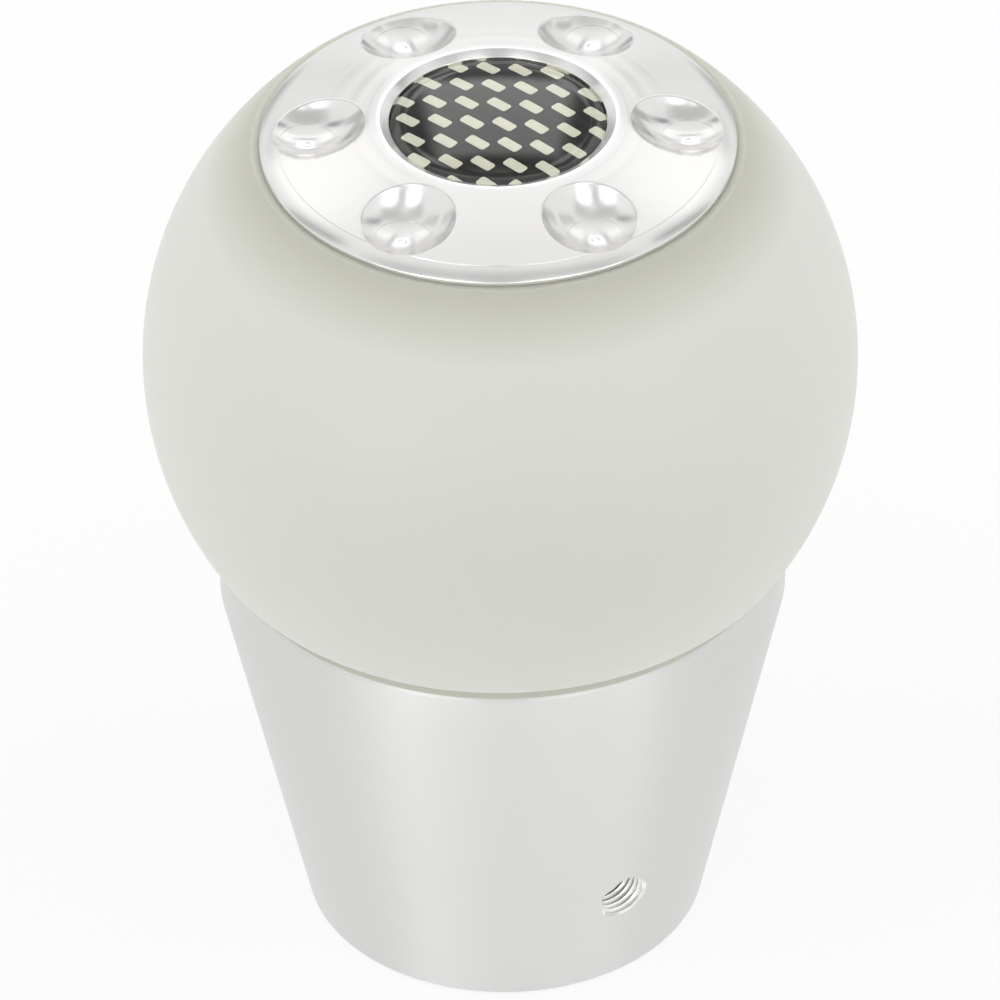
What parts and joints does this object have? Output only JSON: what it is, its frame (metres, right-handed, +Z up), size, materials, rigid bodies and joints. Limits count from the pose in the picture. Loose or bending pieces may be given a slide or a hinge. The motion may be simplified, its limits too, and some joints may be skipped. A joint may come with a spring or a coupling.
{
  "type": "gear shift knob",
  "caption": "Gear shift knob: a frosted ball on a tapered metal collar, a dimpled metal top ring round a woven emblem, and grub screws that clamp it to the lever.",
  "frame": {"origin": "centre of the foot face, where the lever enters", "axes": "+Z up the knob's axis; -Y faces the side where one grub screw shows, a little to its right"},
  "size_m": [0.05, 0.05, 0.0671],
  "materials": {
    "collar_aluminium": "fine turned, satin anodised",
    "ring_aluminium": "fine turned, bright",
    "frosted_acrylic": "frosted, slightly see-through",
    "black_nylon": "moulded, matte",
    "black_steel": "black oxide, oiled",
    "adhesive_foam": "matte foam tape",
    "dark_weave": "woven dark fibre under resin",
    "light_tow": "woven light fibre under resin",
    "clear_resin": "clear poured resin, glossy"
  },
  "bodies": {
    "knob": {"lower_collar": "collar_aluminium", "adapter_sleeve": "black_nylon", "ball_grip": "frosted_acrylic", "top_ring": "ring_aluminium", "centre_screw": "black_steel", "adhesive_pad": "adhesive_foam", "carbon_disc": "dark_weave", "weave_tows": "light_tow", "resin_dome": "clear_resin"},
    "grub_1": {"grub_screw_1": "black_steel"},
    "grub_2": {"grub_screw_2": "black_steel"},
    "grub_3": {"grub_screw_3": "black_steel"}
  },
  "joints": [
    {"name": "grub_1_travel", "type": "slide", "parent": "knob", "child": "grub_1", "axis": [0.524, -0.8517, 0], "range_m": [0, 0.0025]},
    {"name": "grub_2_travel", "type": "slide", "parent": "knob", "child": "grub_2", "axis": [0.4756, 0.8796, 0], "range_m": [0, 0.0025]},
    {"name": "grub_3_travel", "type": "slide", "parent": "knob", "child": "grub_3", "axis": [-0.9996, -0.0279, 0], "range_m": [0, 0.0025]}
  ]
}
